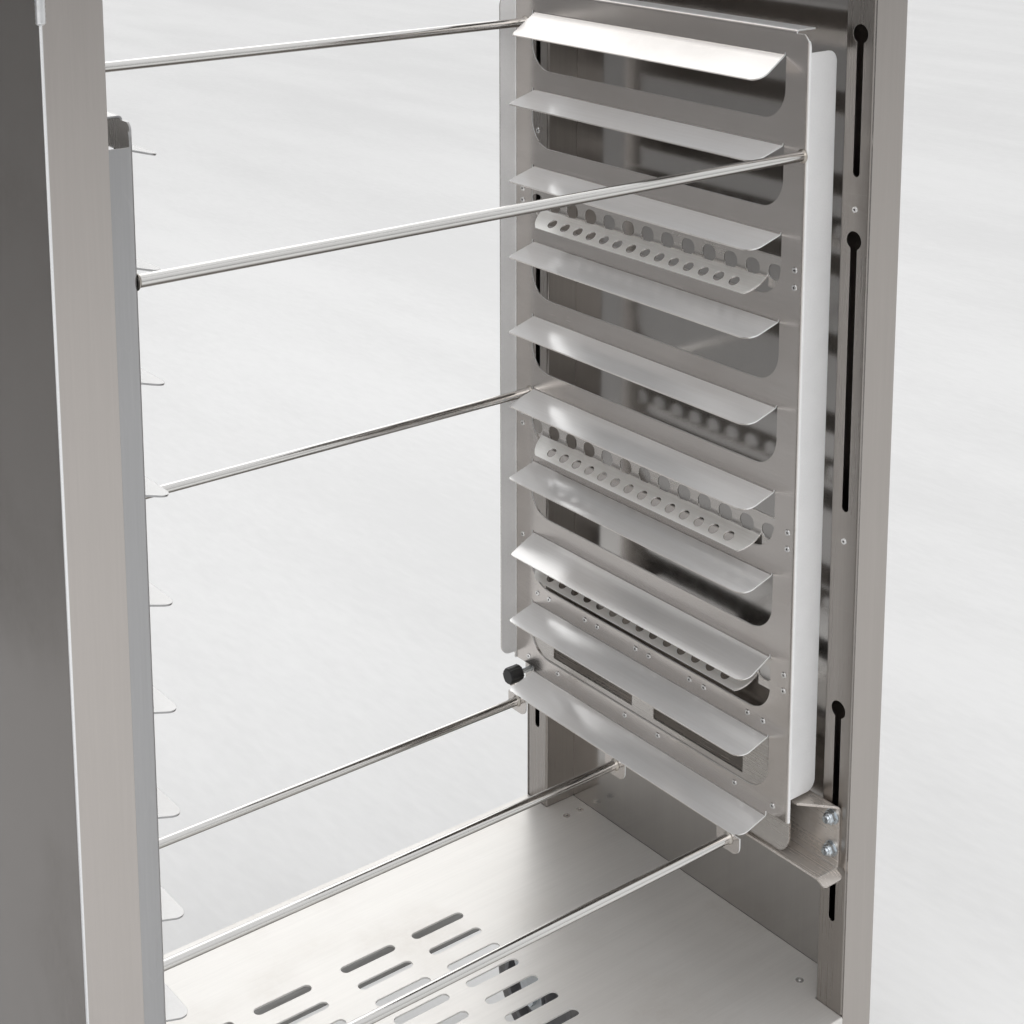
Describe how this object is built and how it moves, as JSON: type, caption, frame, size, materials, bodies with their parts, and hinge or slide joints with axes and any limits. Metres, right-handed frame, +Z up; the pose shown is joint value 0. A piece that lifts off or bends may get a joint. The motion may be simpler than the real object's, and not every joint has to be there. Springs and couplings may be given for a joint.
{
  "type": "oven rack trolley",
  "caption": "Upright stainless trolley on castors that carries a slide-out tray rack with angled ledges, guide rails, perforated air strips, tie rods and a vented base shelf.",
  "frame": {"origin": "on the floor, in the middle of the whole trolley's plan, push handle included", "axes": "+X to the right of a person at the push handle, +Y ahead of them towards the oven, +Z up"},
  "size_m": [0.673, 0.4996, 1.1215],
  "materials": {
    "wall_steel": "brushed, reflective inside",
    "upright_steel": "brushed",
    "shelf_steel": "brushed",
    "beam_steel": "mill finish",
    "rivet_steel": "satin",
    "handle_steel": "satin tube",
    "zinc_fastener": "bright zinc",
    "rail_steel": "brushed, worn",
    "rack_steel": "brushed",
    "strip_steel": "satin",
    "runner_steel": "brushed",
    "rod_steel": "polished",
    "knob_plastic": "matte black",
    "castor_zinc": "zinc plated",
    "castor_tyre": "grey elastic tyre",
    "castor_hub": "moulded grey",
    "pedal_steel": "zinc plated"
  },
  "bodies": {
    "frame": {"base_shelf": "shelf_steel", "base_beam_front": "beam_steel", "base_beam_rear": "beam_steel", "base_screws": "rivet_steel", "side_wall_left": "wall_steel", "side_wall_right": "wall_steel", "upright_front_left": "upright_steel", "upright_front_right": "upright_steel", "upright_rear_left": "upright_steel", "upright_rear_right": "upright_steel", "upright_rivets": "rivet_steel", "push_handle": "handle_steel", "handle_bolts": "zinc_fastener", "castor_plates": "castor_zinc", "castor_bolts": "zinc_fastener"},
    "rails": {"guide_rail_left": "rail_steel", "guide_rail_right": "rail_steel", "rail_bolts": "zinc_fastener", "rail_nuts": "zinc_fastener"},
    "rack": {"rack_panel_left": "rack_steel", "rack_panel_right": "rack_steel", "runner_left": "runner_steel", "runner_right": "runner_steel", "rack_rivets": "rivet_steel", "clamp_nuts": "zinc_fastener", "air_strip_left_3": "strip_steel", "air_strip_left_6": "strip_steel", "air_strip_left_8": "strip_steel", "air_strip_right_3": "strip_steel", "air_strip_right_6": "strip_steel", "air_strip_right_8": "strip_steel", "tie_rod_top_rear": "rod_steel", "tie_rod_top_front": "rod_steel", "tie_rod_middle_rear": "rod_steel", "tie_rod_bottom_front": "rod_steel", "tie_rod_bottom_middle": "rod_steel", "tie_rod_bottom_rear": "rod_steel"},
    "clamp_screw_left": {"clamp_stud_left": "zinc_fastener"},
    "clamp_knob_left": {"clamp_knob_left": "knob_plastic"},
    "clamp_screw_right": {"clamp_stud_right": "zinc_fastener"},
    "clamp_knob_right": {"clamp_knob_right": "knob_plastic"},
    "castor_front_left": {"castor_fork_front_left": "castor_zinc", "castor_axle_front_left": "castor_zinc"},
    "wheel_front_left": {"castor_hub_front_left": "castor_hub", "castor_tyre_front_left": "castor_tyre"},
    "brake_front_left": {"brake_pedal_front_left": "pedal_steel"},
    "castor_front_right": {"castor_fork_front_right": "castor_zinc", "castor_axle_front_right": "castor_zinc"},
    "wheel_front_right": {"castor_hub_front_right": "castor_hub", "castor_tyre_front_right": "castor_tyre"},
    "brake_front_right": {"brake_pedal_front_right": "pedal_steel"},
    "castor_rear_left": {"castor_fork_rear_left": "castor_zinc", "castor_axle_rear_left": "castor_zinc"},
    "wheel_rear_left": {"castor_hub_rear_left": "castor_hub", "castor_tyre_rear_left": "castor_tyre"},
    "castor_rear_right": {"castor_fork_rear_right": "castor_zinc", "castor_axle_rear_right": "castor_zinc"},
    "wheel_rear_right": {"castor_hub_rear_right": "castor_hub", "castor_tyre_rear_right": "castor_tyre"}
  },
  "joints": [
    {"name": "rail_height", "type": "slide", "parent": "frame", "child": "rails", "axis": [0, 0, 1], "range_m": [-0.06, 0.075]},
    {"name": "rack_slide", "type": "slide", "parent": "rails", "child": "rack", "axis": [0, 1, 0], "range_m": [0, 0.38]},
    {"name": "clamp_feed_left", "type": "slide", "parent": "rack", "child": "clamp_screw_left", "axis": [1, 0, 0], "range_m": [0, 0.0024]},
    {"name": "clamp_turn_left", "type": "hinge", "parent": "clamp_screw_left", "child": "clamp_knob_left", "pos_m": [-0.2582, 0.21575, 0.341], "axis": [1, 0, 0], "range_deg": [0, 1080]},
    {"name": "clamp_feed_right", "type": "slide", "parent": "rack", "child": "clamp_screw_right", "axis": [-1, 0, 0], "range_m": [0, 0.0024]},
    {"name": "clamp_turn_right", "type": "hinge", "parent": "clamp_screw_right", "child": "clamp_knob_right", "pos_m": [0.2582, 0.21575, 0.341], "axis": [-1, 0, 0], "range_deg": [0, 1080]},
    {"name": "swivel_front_left", "type": "hinge", "parent": "frame", "child": "castor_front_left", "pos_m": [-0.2448, -0.09315, 0.139], "axis": [0, 0, 1], "continuous": true},
    {"name": "wheel_front_left", "type": "hinge", "parent": "castor_front_left", "child": "wheel_front_left", "pos_m": [-0.2448, -0.13115, 0.0625], "axis": [1, 0, 0], "continuous": true},
    {"name": "brake_front_left", "type": "hinge", "parent": "castor_front_left", "child": "brake_front_left", "pos_m": [-0.2448, -0.12915, 0.1307], "axis": [1, 0, 0], "range_deg": [0, 15]},
    {"name": "swivel_front_right", "type": "hinge", "parent": "frame", "child": "castor_front_right", "pos_m": [0.2448, -0.09315, 0.139], "axis": [0, 0, 1], "continuous": true},
    {"name": "wheel_front_right", "type": "hinge", "parent": "castor_front_right", "child": "wheel_front_right", "pos_m": [0.2448, -0.13115, 0.0625], "axis": [1, 0, 0], "continuous": true},
    {"name": "brake_front_right", "type": "hinge", "parent": "castor_front_right", "child": "brake_front_right", "pos_m": [0.2448, -0.12915, 0.1307], "axis": [1, 0, 0], "range_deg": [0, 15]},
    {"name": "swivel_rear_left", "type": "hinge", "parent": "frame", "child": "castor_rear_left", "pos_m": [-0.2448, 0.18065, 0.139], "axis": [0, 0, 1], "continuous": true},
    {"name": "wheel_rear_left", "type": "hinge", "parent": "castor_rear_left", "child": "wheel_rear_left", "pos_m": [-0.2448, 0.14265, 0.0625], "axis": [1, 0, 0], "continuous": true},
    {"name": "swivel_rear_right", "type": "hinge", "parent": "frame", "child": "castor_rear_right", "pos_m": [0.2448, 0.18065, 0.139], "axis": [0, 0, 1], "continuous": true},
    {"name": "wheel_rear_right", "type": "hinge", "parent": "castor_rear_right", "child": "wheel_rear_right", "pos_m": [0.2448, 0.14265, 0.0625], "axis": [1, 0, 0], "continuous": true}
  ],
  "couplings": [
    {"joint": "clamp_turn_left", "follows": "clamp_feed_left", "rad_per_m": 7854},
    {"joint": "clamp_turn_right", "follows": "clamp_feed_right", "rad_per_m": 7854}
  ]
}
